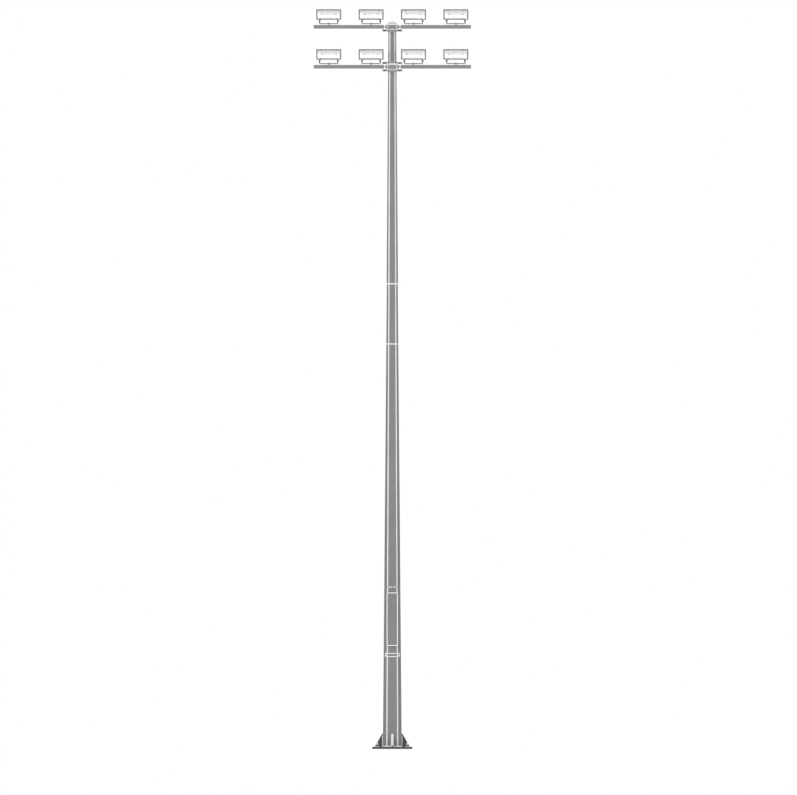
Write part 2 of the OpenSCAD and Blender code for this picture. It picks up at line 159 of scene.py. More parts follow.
# %% [markdown]
# ## Shared surface effects
# Zinc from a dip bath dries into crystals called spangle, gathers in soft clouds and runs a little
# down the steel. Several finishes need those effects, so each is a node group that is built once
# and used with its own values. All of them read Object coordinates, so a pattern keeps its real
# size and stays on its piece when the piece moves. Along the shaft's folds a painted highlight
# lightens the zinc, in place of the light that the bent edges catch. On the left and right flats
# those lines lie wholly on the flat, so that the shaft's outline stays dark from the front.

# %% Node groups
CLOUD_SCALE, CLOUD_DETAIL = 2.6, 5.0
RUN_STRETCH, RUN_DETAIL = (42.0, 42.0, 1.1), 3.0
GRAIN_DETAIL = 2.0
PATCH_SCALE, PATCH_DETAIL = 7.0, 4.0
# How far the painted fold highlight lines sit outwards, as a share of their width.
LINE_SHIFT = 0.5


def new_group(name, inputs, outputs):
    """Starts a node group with a Coordinates input and named float inputs and outputs."""
    group = bpy.data.node_groups.new(name, "ShaderNodeTree")
    group.interface.new_socket("Coordinates", in_out="INPUT", socket_type="NodeSocketVector")
    for label, value in inputs.items():
        socket = group.interface.new_socket(label, in_out="INPUT", socket_type="NodeSocketFloat")
        socket.default_value = value
    for label in outputs:
        group.interface.new_socket(label, in_out="OUTPUT", socket_type="NodeSocketFloat")
    return group, place(group, "NodeGroupInput"), place(group, "NodeGroupOutput")


def noise(tree, where, scale, detail):
    """Adds a Noise texture and returns its value."""
    inputs = {"Vector": where, "Scale": scale, "Detail": detail}
    return place(tree, "ShaderNodeTexNoise", inputs).outputs[0]


def make_mottle_group():
    """Spangle cells, soft clouds and downward runs, as a shade about 1 and a height."""
    group, given, result = new_group(
        "mottle", {"Cell Size": 0.02, "Cells": 0.1, "Clouds": 0.1, "Runs": 0.08},
        ["Shade", "Height"],
    )
    given = given.outputs
    where = given["Coordinates"]
    scale = math_node(group, "DIVIDE", 1.0, given["Cell Size"])
    cells = place(group, "ShaderNodeTexVoronoi", {"Vector": where, "Scale": scale})
    tone = place(group, "ShaderNodeSeparateColor", {"Color": cells.outputs["Color"]}).outputs[0]
    clouds = noise(group, where, CLOUD_SCALE, CLOUD_DETAIL)
    stretched = place(group, "ShaderNodeMapping", {"Vector": where, "Scale": RUN_STRETCH})
    runs = noise(group, stretched.outputs[0], 1.0, RUN_DETAIL)
    shade = 1.0
    for value, amount in ((tone, "Cells"), (clouds, "Clouds"), (runs, "Runs")):
        centred = math_node(group, "SUBTRACT", value, 0.5)
        change = math_node(group, "MULTIPLY", centred, given[amount])
        shade = math_node(group, "ADD", change, shade)
    group.links.new(shade, result.inputs["Shade"])
    group.links.new(tone, result.inputs["Height"])
    return group


def make_fold_highlight_group():
    """Painted highlight lines along a tapered eight-sided shaft's folds: 1 on a line, 0 away from it."""
    group, given, result = new_group(
        "painted_fold_highlights", {"Half Flat": 0.11, "Fall": 0.004, "Line": 0.0142, "Softness": 0.35}, ["Mask"]
    )
    given = given.outputs
    parts = place(group, "ShaderNodeSeparateXYZ", {"Vector": given["Coordinates"]}).outputs
    narrowed = math_node(group, "MULTIPLY", parts["Z"], given["Fall"])
    flat = math_node(group, "SUBTRACT", given["Half Flat"], narrowed)
    outwards = math_node(group, "MULTIPLY", given["Line"], LINE_SHIFT)
    front_line = math_node(group, "ADD", flat, outwards)
    side_line = math_node(group, "SUBTRACT", flat, given["Line"])
    masks = []
    for axis, centre in (("X", front_line), ("Y", side_line)):
        side = math_node(group, "ABSOLUTE", parts[axis])
        away = math_node(group, "ABSOLUTE", math_node(group, "SUBTRACT", side, centre))
        inside = math_node(group, "SUBTRACT", 1.0, math_node(group, "DIVIDE", away, given["Line"]))
        masks.append(math_node(group, "DIVIDE", inside, given["Softness"], clamp=True))
    group.links.new(math_node(group, "MAXIMUM", *masks), result.inputs["Mask"])
    return group


def make_speckle_group():
    """Fine even grain, as on powder paint and rubber: a shade about 1 and a height."""
    group, given, result = new_group("speckle", {"Size": 0.004, "Tone": 0.06}, ["Shade", "Height"])
    given = given.outputs
    where = given["Coordinates"]
    scale = math_node(group, "DIVIDE", 1.0, given["Size"])
    fine = noise(group, where, scale, GRAIN_DETAIL)
    broad = noise(group, where, PATCH_SCALE, PATCH_DETAIL)
    change = math_node(group, "MULTIPLY", math_node(group, "SUBTRACT", broad, 0.5), given["Tone"])
    group.links.new(math_node(group, "ADD", change, 1.0), result.inputs["Shade"])
    group.links.new(fine, result.inputs["Height"])
    return group


mottle_group = make_mottle_group()
fold_highlight_group = make_fold_highlight_group()
speckle_group = make_speckle_group()
print("node groups:", [group.name for group in (mottle_group, fold_highlight_group, speckle_group)])

# %% [markdown]
# ## Finishes
# A finish is a material: a colour, a roughness and a fine relief. Galvanised steel is a dull grey
# metal, the base is coated darker against ground water, and the floodlights are powder painted. The
# Principled shader stays in the material itself, and the groups only feed it what changes over the
# surface.

# %% Material helpers
# A Mix node keeps its colour sockets behind those for numbers and vectors.
MIX_FIRST, MIX_SECOND, MIX_RESULT = 6, 7, 2


def start_material(name, metallic, **plain):
    """Makes a material and returns it with its tree, its shader and its Object coordinates."""
    material = bpy.data.materials.new(name)
    material.use_nodes = True
    tree = material.node_tree
    shader = tree.nodes["Principled BSDF"]
    shader.inputs["Metallic"].default_value = metallic
    for socket, value in plain.items():
        shader.inputs[socket.replace("_", " ")].default_value = value
    return material, tree, shader, place(tree, "ShaderNodeTexCoord").outputs["Object"]


def use_group(tree, group, where, **values):
    """Places a shared group in a material and returns its outputs."""
    node = place(tree, "ShaderNodeGroup", node_tree=group)
    tree.links.new(where, node.inputs["Coordinates"])
    for label, value in values.items():
        node.inputs[label.replace("_", " ")].default_value = value
    return node.outputs


def shaded(tree, colour, shade):
    """A colour that a shade about 1 makes lighter or darker."""
    node = place(tree, "ShaderNodeVectorMath", {0: colour, 1: shade}, operation="MULTIPLY")
    return node.outputs[0]


def roughen(tree, shader, height, low, high):
    """Lets a pattern move the roughness between two values."""
    spread = place(tree, "ShaderNodeMapRange", {"Value": height, "To Min": low, "To Max": high})
    tree.links.new(spread.outputs[0], shader.inputs["Roughness"])


def relief(tree, shader, height, depth, strength):
    """Feeds a height to the shader as a bump of a real depth."""
    values = {"Height": height, "Distance": depth, "Strength": strength}
    bump = place(tree, "ShaderNodeBump", values)
    tree.links.new(bump.outputs[0], shader.inputs["Normal"])


def mixed(tree, share, first, second):
    """Mixes two colours: a share of 0 gives the first one, and 1 the second."""
    sockets = {0: share, MIX_FIRST: first, MIX_SECOND: second}
    return place(tree, "ShaderNodeMix", sockets, data_type="RGBA").outputs[MIX_RESULT]


print("material helpers ready")

# %% [markdown]
# ## Kinds of material
# Each kind is a function that builds one material. A roughness is a low and a high value that the
# pattern moves between, and a relief is a depth in metres and a strength. The clamps need two tones
# of zinc in one piece, so theirs are told apart by the distance from the mast's axis.

# %% Kinds of material
ZINC = (0.222, 0.225, 0.228)
# Bright zinc: fresh zinc on the clamps' ears and saddles, and the painted highlight along the shaft's folds.
ZINC_BRIGHT = (0.9, 0.905, 0.91)
ZINC_BAND = (0.36, 0.364, 0.368)
MIRROR, GLASS = (0.97, 0.972, 0.975), (0.99, 0.998, 0.998)
ZINC_METALLIC, GLASS_IOR = 0.45, 1.45
# How strongly the painted fold highlight replaces the zinc's own colour.
FOLD_HIGHLIGHT_STRENGTH = 0.97
BAND_REACH = 0.1045
ZINC_ROUGH, BAND_ROUGH = (0.44, 0.6), (0.4, 0.55)
MIRROR_ROUGH, GLASS_ROUGH = (0.08, 0.16), (0.0, 0.05)
ZINC_RELIEF, BAND_RELIEF, MIRROR_RELIEF = (0.0003, 0.25), (0.0002, 0.25), (0.0006, 0.15)
PAINT_SPREAD, PAINT_STRENGTH = 0.06, 0.3


def galvanised(name, colour=ZINC, cell=0.022, fold=None):
    """Dip galvanised steel. fold gives the half flat at the ground and its fall for each metre,
    where a painted highlight lightens the zinc along the folds.
    """
    material, tree, shader, where = start_material(name, ZINC_METALLIC)
    mottle = use_group(tree, mottle_group, where, Cell_Size=cell, Cells=0.12, Clouds=0.22,
                       Runs=0.12)
    tone = shaded(tree, colour, mottle["Shade"])
    # Painted highlight: lighter zinc along the folds, in place of the light that the bent edges catch.
    if fold:
        highlight_mask = use_group(tree, fold_highlight_group, where, Half_Flat=fold[0], Fall=fold[1])["Mask"]
        share = math_node(tree, "MULTIPLY", highlight_mask, FOLD_HIGHLIGHT_STRENGTH)
        tone = mixed(tree, share, tone, shaded(tree, ZINC_BRIGHT, mottle["Shade"]))
    tree.links.new(tone, shader.inputs["Base Color"])
    roughen(tree, shader, mottle["Height"], *ZINC_ROUGH)
    relief(tree, shader, mottle["Height"], *ZINC_RELIEF)
    return material


def clamp_zinc(name):
    """Dull zinc bands with fresh bright zinc on the ears and on the saddle plate."""
    material, tree, shader, where = start_material(name, ZINC_METALLIC)
    mottle = use_group(tree, mottle_group, where, Cell_Size=0.012, Cells=0.1, Clouds=0.15,
                       Runs=0.05)
    parts = place(tree, "ShaderNodeSeparateXYZ", {"Vector": where}).outputs
    ears = math_node(tree, "GREATER_THAN", math_node(tree, "ABSOLUTE", parts["X"]), BAND_REACH)
    saddle = math_node(tree, "LESS_THAN", parts["Y"], -BAND_REACH)
    dull = shaded(tree, ZINC_BAND, mottle["Shade"])
    fresh = shaded(tree, ZINC_BRIGHT, mottle["Shade"])
    tone = mixed(tree, math_node(tree, "MAXIMUM", ears, saddle), dull, fresh)
    tree.links.new(tone, shader.inputs["Base Color"])
    roughen(tree, shader, mottle["Height"], *BAND_ROUGH)
    relief(tree, shader, mottle["Height"], *BAND_RELIEF)
    return material


def speckled(name, colour, rough, metallic=0.0, grain=0.003, tone=0.12, depth=0.0002, stains=0.0):
    """Paint, coating, rubber or ceramic with an even grain, and weather stains if wanted."""
    material, tree, shader, where = start_material(name, metallic)
    speckle = use_group(tree, speckle_group, where, Size=grain, Tone=tone)
    shade = speckle["Shade"]
    if stains:
        weather = use_group(tree, mottle_group, where, Cells=0.0, Clouds=stains, Runs=stains / 2)
        shade = math_node(tree, "MULTIPLY", shade, weather["Shade"])
    tree.links.new(shaded(tree, colour, shade), shader.inputs["Base Color"])
    roughen(tree, shader, speckle["Height"], rough - PAINT_SPREAD, rough + PAINT_SPREAD)
    relief(tree, shader, speckle["Height"], depth, PAINT_STRENGTH)
    return material


def hammered_mirror(name):
    """Bright aluminium sheet with rolled dimples, as in a floodlight's reflector."""
    material, tree, shader, where = start_material(name, 1.0)
    mottle = use_group(tree, mottle_group, where, Cell_Size=0.012, Cells=0.05, Clouds=0.04,
                       Runs=0.0)
    tree.links.new(shaded(tree, MIRROR, mottle["Shade"]), shader.inputs["Base Color"])
    roughen(tree, shader, mottle["Height"], *MIRROR_ROUGH)
    relief(tree, shader, mottle["Height"], *MIRROR_RELIEF)
    return material


def clear_glass(name):
    """Toughened front glass with a little dust on it."""
    material, tree, shader, where = start_material(
        name, 0.0, Transmission_Weight=1.0, IOR=GLASS_IOR
    )
    speckle = use_group(tree, speckle_group, where, Size=0.05, Tone=0.02)
    tree.links.new(shaded(tree, GLASS, speckle["Shade"]), shader.inputs["Base Color"])
    roughen(tree, shader, speckle["Height"], *GLASS_ROUGH)
    return material


print("kinds of material ready")

# %% [markdown]
# ## The tower's finishes
# The painted fold highlights have to follow the shaft's taper, so its half width at the ground and
# its fall for each metre are measured on the two longest sections. Then every finish is made once,
# from a table.

# %% Finishes
EDGE = 0.001
FLAT_SHARE = 0.55


def foot_and_head(node):
    """Heights of a node's foot and head, and its half width across the flats at each."""
    low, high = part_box(node)
    foot = max(v.co.x for v in nodes[node].data.vertices if v.co.z < low.z + EDGE)
    head = max(v.co.x for v in nodes[node].data.vertices if v.co.z > high.z - EDGE)
    return low.z, high.z, foot, head


shaft_lines = {}
for part, node in (("lower", "lower_shaft"), ("upper", "upper_shaft")):
    foot_z, head_z, foot_half, head_half = foot_and_head(node)
    fall = (foot_half - head_half) / (head_z - foot_z)
    shaft_lines[part] = (foot_half + fall * foot_z, fall)
folds = {part: [FLAT_SHARE * value for value in line] for part, line in shaft_lines.items()}

ZINC_FINISHES = {
    "lower_zinc_fold_highlights": {"fold": folds["lower"]},
    "upper_zinc_fold_highlights": {"fold": folds["upper"]},
    "plain_zinc": {},
    "arm_zinc": {"colour": (0.246, 0.249, 0.252)},
    "bright_zinc": {"colour": (0.82, 0.825, 0.83), "cell": 0.008},
    "strip_zinc": {"colour": (0.655, 0.66, 0.665), "cell": 0.008},
}
SPECKLED_FINISHES = {
    "base_coating": {"colour": (0.068, 0.069, 0.071), "rough": 0.6, "grain": 0.006, "tone": 0.4,
                     "depth": 0.0005, "stains": 0.9},
    "lamp_paint": {"colour": (0.165, 0.167, 0.17), "rough": 0.5, "stains": 0.3},
    "yoke_paint": {"colour": (0.06, 0.061, 0.062), "rough": 0.5, "stains": 0.3},
    "bolt_coating": {"colour": (0.035, 0.0355, 0.036), "rough": 0.5, "grain": 0.002},
    "plate_metal": {"colour": (0.72, 0.725, 0.73), "rough": 0.45, "metallic": 0.3, "grain": 0.002,
                    "stains": 0.2},
    "label_dark": {"colour": (0.018, 0.0182, 0.0185), "rough": 0.65},
    "lock_metal": {"colour": (0.3, 0.303, 0.306), "rough": 0.42, "metallic": 0.7, "grain": 0.002},
    "black_rubber": {"colour": (0.03, 0.03, 0.031), "rough": 0.75, "grain": 0.002},
    "white_ceramic": {"colour": (0.82, 0.81, 0.79), "rough": 0.4},
}
FINISH = {name: galvanised(name, **values) for name, values in ZINC_FINISHES.items()}
FINISH.update({name: speckled(name, **values) for name, values in SPECKLED_FINISHES.items()})
for name, kind in (("clamp_zinc", clamp_zinc), ("reflector_metal", hammered_mirror),
                   ("lamp_glass", clear_glass)):
    FINISH[name] = kind(name)
narrowing = [round(2000 * fall, 1) for _, fall in shaft_lines.values()]
print("made", len(FINISH), "finishes; the shaft narrows by", narrowing, "mm in each metre")

# %% [markdown]
# ## Dressing the construction model
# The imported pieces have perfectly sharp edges, and no real edge is. Their meshes mustn't change,
# but modifiers may ride on top: Weld joins the loose triangles, a planar Decimate clears the lines
# across flat faces, and a small Bevel rounds every edge so that it catches the light. On the
# floodlights and their yokes the Bevel isn't held back by its shortest edge, because a pin and the
# bore round it have to be rounded alike.

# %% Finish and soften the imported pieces
ROUNDING, ROUNDING_STEPS = 0.0015, 2
JOIN_GAP = 0.00001
FLAT_ANGLE, SHARP_ANGLE = math.radians(1), math.radians(35)


def soften(node, width):
    """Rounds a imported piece's sharp edges with live modifiers."""
    piece = nodes[node]
    piece.modifiers.new("join_triangles", "WELD").merge_threshold = JOIN_GAP
    flatten = piece.modifiers.new("clear_flats", "DECIMATE")
    flatten.decimate_type = "DISSOLVE"
    flatten.angle_limit = FLAT_ANGLE
    round_off = piece.modifiers.new("round_edges", "BEVEL")
    round_off.width = width
    round_off.segments = ROUNDING_STEPS
    round_off.limit_method = "ANGLE"
    round_off.angle_limit = SHARP_ANGLE
    round_off.use_clamp_overlap = not node.startswith(("yoke", "housing"))


def finish_of(node):
    """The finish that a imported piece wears."""
    if node in ("shaft_foot", "door_section", "lower_shaft", "middle_shaft"):
        return "lower_zinc_fold_highlights"
    if node in ("base_plate", "base_gussets"):
        return "base_coating"
    special = {
        "upper_shaft": "upper_zinc_fold_highlights", "name_plate": "plate_metal", "mast_cap": "plate_metal",
        "door_locks": "lock_metal", "drip_strips": "bright_zinc", "yoke_bolts": "bright_zinc",
    }
    if node in special:
        return special[node]
    for part, finish in (("glass", "lamp_glass"), ("housing", "lamp_paint"), ("yoke", "yoke_paint"),
                         ("arm", "arm_zinc"), ("clamp", "clamp_zinc")):
        if part in node:
            return finish
    return "plain_zinc"


for node, piece in nodes.items():
    piece.data.materials.clear()
    piece.data.materials.append(FINISH[finish_of(node)])
    if not node.startswith("glass"):
        soften(node, ROUNDING)
print("softened edges by", ROUNDING * 1000, "mm")

# %% [markdown]
# ## Helpers for new pieces
# A new piece is shaped in a bmesh with operators and then becomes an object that rides on a body of
# the model. Its object stays at the origin, and its place is in its mesh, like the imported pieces.
# Faces that meet at a small angle are shaded as one round surface, and sharper edges stay crisp.
# Nuts, rods and washers recur all over the tower, so each has a short function that adds one to a
# bmesh at a given place. A thread is a zigzag line of a few vertices that is spun round the bar's
# axis.

# %% Helpers
TO_FRONT = Matrix.Rotation(math.radians(90), 4, "X")
TO_RIGHT = Matrix.Rotation(math.radians(90), 4, "Y")
SMOOTH_ANGLE = math.radians(20)
HEXAGON, ROUND_SIDES, THREAD_SIDES = 6, 20, 24
BLOCK_STEPS, CORNER_STEPS = 2, 5
THREAD_DEPTH, POLE_GAP = 0.45, 0.000001


def new_piece(name, shape, finish, body):
    """Turns a bmesh into a piece that rides on a body."""
    bmesh.ops.recalc_face_normals(shape, faces=shape.faces[:])
    mesh = bpy.data.meshes.new(name)
    shape.to_mesh(mesh)
    shape.free()
    mesh.shade_smooth()
    mesh.set_sharp_from_angle(angle=SMOOTH_ANGLE)
    mesh.materials.append(FINISH[finish])
    piece = bpy.data.objects.new(name, mesh)
    bpy.context.scene.collection.objects.link(piece)
    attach(piece, body)


def at(x, y, z, turn=None):
    """A place, and a turn if the shape doesn't stand along Z."""
    return Matrix.Translation((x, y, z)) @ (turn or Matrix.Identity(4))


def add_round(shape, radius, tall, place_at, segments=ROUND_SIDES, chamfer=0.0):
    """Adds a rod, washer or nut standing on its place. Six segments make a hexagon."""
    made = bmesh.ops.create_cone(
        shape, cap_ends=True, segments=segments, radius1=radius, radius2=radius, depth=tall,
        matrix=place_at @ Matrix.Translation((0, 0, tall / 2)),
    )
    if chamfer:
        caps = [f for v in made["verts"] for f in v.link_faces if len(f.verts) == segments]
        rims = {e for f in caps for e in f.edges}
        bmesh.ops.bevel(shape, geom=list(rims), offset=chamfer, segments=1, profile=0.5,
                        affect="EDGES", material=-1)


def add_thread(shape, radius, tall, place_at, pitch):
    """Adds the threaded end of a bar, standing on its place."""
    turns = round(tall / pitch)
    root = radius - THREAD_DEPTH * pitch
    profile = [(0, 0), (root, 0)]
    for turn in range(turns):
        profile += [(radius, tall * (turn + 0.5) / turns), (root, tall * (turn + 1) / turns)]
    profile.append((0, tall))
    old = set(shape.verts)
    line = [shape.verts.new((out, 0, z)) for out, z in profile]
    edges = [shape.edges.new(pair) for pair in zip(line, line[1:])]
    bmesh.ops.spin(shape, geom=line + edges, axis=(0, 0, 1), angle=2 * math.pi,
                   steps=THREAD_SIDES, use_merge=True)
    fresh = [v for v in shape.verts if v not in old]
    bmesh.ops.remove_doubles(shape, verts=fresh, dist=POLE_GAP)
    fresh = [v for v in shape.verts if v not in old]
    bmesh.ops.transform(shape, matrix=place_at, verts=fresh)


def add_block(shape, size, place_at, rounding=0.0):
    """Adds a block centred on its place, with its edges rounded."""
    made = bmesh.ops.create_cube(shape, size=1.0, matrix=place_at @ Matrix.Diagonal((*size, 1.0)))
    if rounding:
        edges = {e for v in made["verts"] for e in v.link_edges}
        bmesh.ops.bevel(shape, geom=list(edges), offset=rounding, segments=BLOCK_STEPS, profile=0.5,
                        affect="EDGES", material=-1)


def add_prism(shape, section, along, place_at):
    """Fills a section of corners, extrudes it along a vector and returns the prism's vertices."""
    corners = [shape.verts.new(corner) for corner in section]
    face = bmesh.ops.contextual_create(shape, geom=corners)["faces"]
    grown = bmesh.ops.extrude_face_region(shape, geom=face)["geom"]
    ends = [g for g in grown if isinstance(g, bmesh.types.BMVert)]
    bmesh.ops.translate(shape, verts=ends, vec=along)
    bmesh.ops.transform(shape, matrix=place_at, verts=corners + ends)
    return corners + ends


def add_frame(shape, width, tall, border, thick, corner, place_at):
    """Adds a flat rounded frame, such as a gasket, standing up and facing the front."""
    made = bmesh.ops.create_grid(shape, x_segments=1, y_segments=1, size=0.5,
                                 matrix=Matrix.Diagonal((width, tall, 1.0, 1.0)))
    face = made["verts"][0].link_faces[0]
    bmesh.ops.bevel(shape, geom=face.verts[:], offset=corner, segments=CORNER_STEPS, profile=0.5,
                    affect="VERTICES", material=-1)
    shape.faces.ensure_lookup_table()
    face = shape.faces[-1]
    ring = bmesh.ops.inset_region(
        shape, faces=[face], thickness=border, use_even_offset=True, use_boundary=True
    )["faces"]
    bmesh.ops.delete(shape, geom=[face], context="FACES")
    raised = bmesh.ops.extrude_face_region(shape, geom=ring)
    lifted = [g for g in raised["geom"] if isinstance(g, bmesh.types.BMVert)]
    bmesh.ops.translate(shape, verts=lifted, vec=(0, 0, thick))
    fresh = {v for f in ring for v in f.verts} | set(lifted)
    bmesh.ops.transform(shape, matrix=place_at @ TO_FRONT, verts=list(fresh))


print("helpers ready")

# %% [markdown]
# ## Anchor bolts
# Each corner of the base plate is held by an anchor: a thick square washer, a dark coated nut, a
# bright lock nut and the end of the threaded bar. They are round and hexagonal prisms with
# chamfered rims, set over the plate's holes, and only the end that shows has a thread.

# %% Anchor bolts
anchors = mounts["anchor_bolts"]["dims"]
anchor_x = anchors["spacing_x_mm"] / 2000
anchor_y = anchors["spacing_y_mm"] / 2000
plate_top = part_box("base_plate")[1].z
BAR_RADIUS, BAR_PITCH = 0.018, 0.004
WASHER_SIDE, WASHER_THICK, WASHER_ROUNDING = 0.105, 0.012, 0.002
NUT_RADIUS, NUT_TALL, LOCK_NUT_TALL, NUT_CHAMFER = 0.037, 0.034, 0.022, 0.003
BAR_END = 0.03

washer = (WASHER_SIDE, WASHER_SIDE, WASHER_THICK)
nut_foot = plate_top + WASHER_THICK
lock_foot = nut_foot + NUT_TALL
lock_top = lock_foot + LOCK_NUT_TALL
washers = bmesh.new()
nuts = bmesh.new()
bars = bmesh.new()
for x in (-anchor_x, anchor_x):
    for y in (-anchor_y, anchor_y):
        add_block(washers, washer, at(x, y, plate_top + WASHER_THICK / 2), WASHER_ROUNDING)
        add_round(nuts, NUT_RADIUS, NUT_TALL, at(x, y, nut_foot), HEXAGON, NUT_CHAMFER)
        add_round(bars, NUT_RADIUS, LOCK_NUT_TALL, at(x, y, lock_foot), HEXAGON, NUT_CHAMFER)
        add_round(bars, BAR_RADIUS, lock_top, at(x, y, 0), THREAD_SIDES)
        add_thread(bars, BAR_RADIUS, BAR_END, at(x, y, lock_top), BAR_PITCH)
new_piece("anchor_washers", washers, "bright_zinc", "mast")
new_piece("anchor_nuts", nuts, "bolt_coating", "mast")
new_piece("anchor_bolts", bars, "bright_zinc", "mast")
print("anchor bolts stand", round(lock_top + BAR_END - plate_top, 3), "m above the plate")

# %% [markdown]
# ## Welds
# The shaft is welded to its base plate, and its lower sections to each other. A weld is a low bead
# of metal that follows the joint. Here a few eight-sided loops that share the shaft's outline are
# bridged into a closed ring, and a bright zinc paint covers most of them, as it does on a real
# repair. The upper section slips over the lower one, and a ring of the same make seals its mouth.

# %% Weld beads and the slip joint
TAN_HALF_FOLD = math.tan(math.radians(22.5))
BEAD_SINK, BEAD_STEPS = 0.0006, 6
SEAM_BEAD, DOOR_BEAD = (0.026, 0.004), (0.012, 0.0016)
FOOT_FILLET = 0.02
FOOT_SECTION = (
    (0, -BEAD_SINK), (0, FOOT_FILLET), (FOOT_FILLET * 0.35, FOOT_FILLET * 0.45),
    (FOOT_FILLET, 0.001), (FOOT_FILLET, -BEAD_SINK),
)
SLIP_SECTION = (
    (-0.012, -0.0055), (-0.010, 0.0005), (0.012, 0.0022), (0.018, -BEAD_SINK), (0, -0.004),
)


def shaft_half(part, z):
    """Half the shaft's width across the flats at a height."""
    at_ground, fall = shaft_lines[part]
    return at_ground - fall * z


def shaft_loop(shape, part, z, proud):
    """Adds the shaft's outline at a height, moved out by a distance, and returns its edges."""
    half = shaft_half(part, z) + proud
    flat = FLAT_SHARE * shaft_half(part, z) + proud * TAN_HALF_FOLD
    corners = [(half, -flat), (half, flat), (flat, half), (-flat, half),
               (-half, flat), (-half, -flat), (-flat, -half), (flat, -half)]
    verts = [shape.verts.new((x, y, z)) for x, y in corners]
    return [shape.edges.new((verts[i], verts[(i + 1) % len(verts)])) for i in range(len(verts))]


def bead_ring(name, part, heights, section, finish="bright_zinc"):
    """Makes closed rings round the shaft. A section is a list of (height, distance out) pairs."""
    shape = bmesh.new()
    for z in heights:
        loops = [shaft_loop(shape, part, z + up, proud) for up, proud in section]
        for i, loop in enumerate(loops):
            bmesh.ops.bridge_loops(shape, edges=loop + loops[(i + 1) % len(loops)])
    new_piece(name, shape, finish, "mast")


def round_bead(width, height):
    """Section of a low round bead."""
    shares = [i / BEAD_STEPS for i in range(BEAD_STEPS + 1)]
    return [(width * (s - 0.5), height * math.sin(math.pi * s) - BEAD_SINK) for s in shares]


seam_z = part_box("middle_shaft")[0].z
mouth_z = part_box("upper_shaft")[0].z
door_ends = [corner.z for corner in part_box("door_section")]
bead_ring("foot_weld", "lower", [plate_top], FOOT_SECTION)
bead_ring("seam_weld", "lower", [seam_z], round_bead(*SEAM_BEAD))
bead_ring("slip_joint_seal", "upper", [mouth_z], SLIP_SECTION)
bead_ring("door_section_welds", "lower", door_ends, round_bead(*DOOR_BEAD), "plain_zinc")
print("welds at", [round(z, 3) for z in (plate_top, *door_ends, seam_z, mouth_z)], "m")

# %% [markdown]
# ## Gusset edges and welds
# A bright flat strip is welded along the sloping edge of each gusset. The front one is the light
# upright bar in the middle of the mast's foot. Each strip is a thin rounded block, and its ends are
# read from the gussets' own vertices. Where a gusset meets the shaft, a three-sided weld stands in
# the corner on either side of it: a triangle that is extruded upwards and leans with the taper.

# %% Gusset edges and welds
EDGE_STRIP_WIDE, EDGE_STRIP_THICK, EDGE_STRIP_ROUNDING = 0.05, 0.004, 0.001
GUSSET_ZONE = 0.05
WELD_LEG, WELD_END = 0.02, 0.03
WELD_SECTION = ((-BEAD_SINK, BEAD_SINK, 0), (WELD_LEG, BEAD_SINK, 0), (-BEAD_SINK, -WELD_LEG, 0))

quarters = [Matrix.Rotation(math.radians(90 * quarter), 4, "Z") for quarter in range(4)]
gusset_points = [v.co for v in nodes["base_gussets"].data.vertices]
front_gusset = [co for co in gusset_points if abs(co.x) < GUSSET_ZONE and co.y < 0]
reach = max(-co.y for co in front_gusset)
crown_z = max(co.z for co in front_gusset)
toe = Vector((0, -reach, max(co.z for co in front_gusset if -co.y > reach - EDGE)))
crown = Vector((0, min(co.y for co in front_gusset if co.z > crown_z - EDGE), crown_z))
slope = crown - toe
rise = Matrix.Rotation(math.atan2(slope.z, slope.y), 4, "X")
strip = (EDGE_STRIP_WIDE, slope.length, EDGE_STRIP_THICK)
strip_place = Matrix.Translation((toe + crown) / 2) @ rise
shape = bmesh.new()
for quarter in quarters:
    add_block(shape, strip, quarter @ strip_place, EDGE_STRIP_ROUNDING)
new_piece("gusset_edges", shape, "strip_zinc", "mast")

lean = math.atan(shaft_lines["lower"][1])
gusset_half = max(co.x for co in front_gusset)
weld_tall = crown_z - WELD_END - plate_top
weld_place = at(gusset_half, -shaft_half("lower", plate_top), plate_top,
                Matrix.Rotation(-lean, 4, "X"))
shape = bmesh.new()
for quarter in quarters:
    for side in (1, -1):
        mirror = Matrix.Diagonal((side, 1, 1, 1))
        add_prism(shape, WELD_SECTION, (0, 0, weld_tall), quarter @ mirror @ weld_place)
new_piece("gusset_welds", shape, "bright_zinc", "mast")
print("gusset edges are", round(slope.length, 3), "m long, their welds", round(weld_tall, 3), "m")

# %% [markdown]
# ## Long seams
# Each section of the shaft is a sheet that was folded and closed by one weld along its length. The
# seam lies on the back flat, where nobody looks. It is a long low bead that leans with the taper,
# and it stops short of the gusset, of the slip joint and of the lower clamp.

# %% Long seams
SEAM_WIDE, SEAM_THICK, SEAM_END, SEAM_ROUNDING = 0.014, 0.004, 0.03, 0.0019
clamp_foot_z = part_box("lower_clamp_back")[0].z
shape = bmesh.new()
for part, z_low, z_high in (("lower", crown_z, mouth_z), ("upper", mouth_z, clamp_foot_z)):
    z_mid, tall = (z_low + z_high) / 2, z_high - z_low - 2 * SEAM_END
    tilt = Matrix.Rotation(math.atan(shaft_lines[part][1]), 4, "X")
    seam_place = at(0, shaft_half(part, z_mid), z_mid, tilt)
    add_block(shape, (SEAM_WIDE, SEAM_THICK, tall), seam_place, SEAM_ROUNDING)
new_piece("long_seams", shape, "bright_zinc", "mast")
print("long seams end at", round(z_high - SEAM_END, 3), "m")

# %% [markdown]
# ## Plates and U-bolts
# In front of each crossarm lies a plate with pointed ends on a bright packing sheet, and square
# U-bolts draw it, the tube and the clamp's saddle plate together. The plate is an outline of a few
# vertices that is filled and extruded. A U-bolt is one round bar: a disc is extruded along its legs
# and spun round its corners, and the discs left inside the bar are deleted.

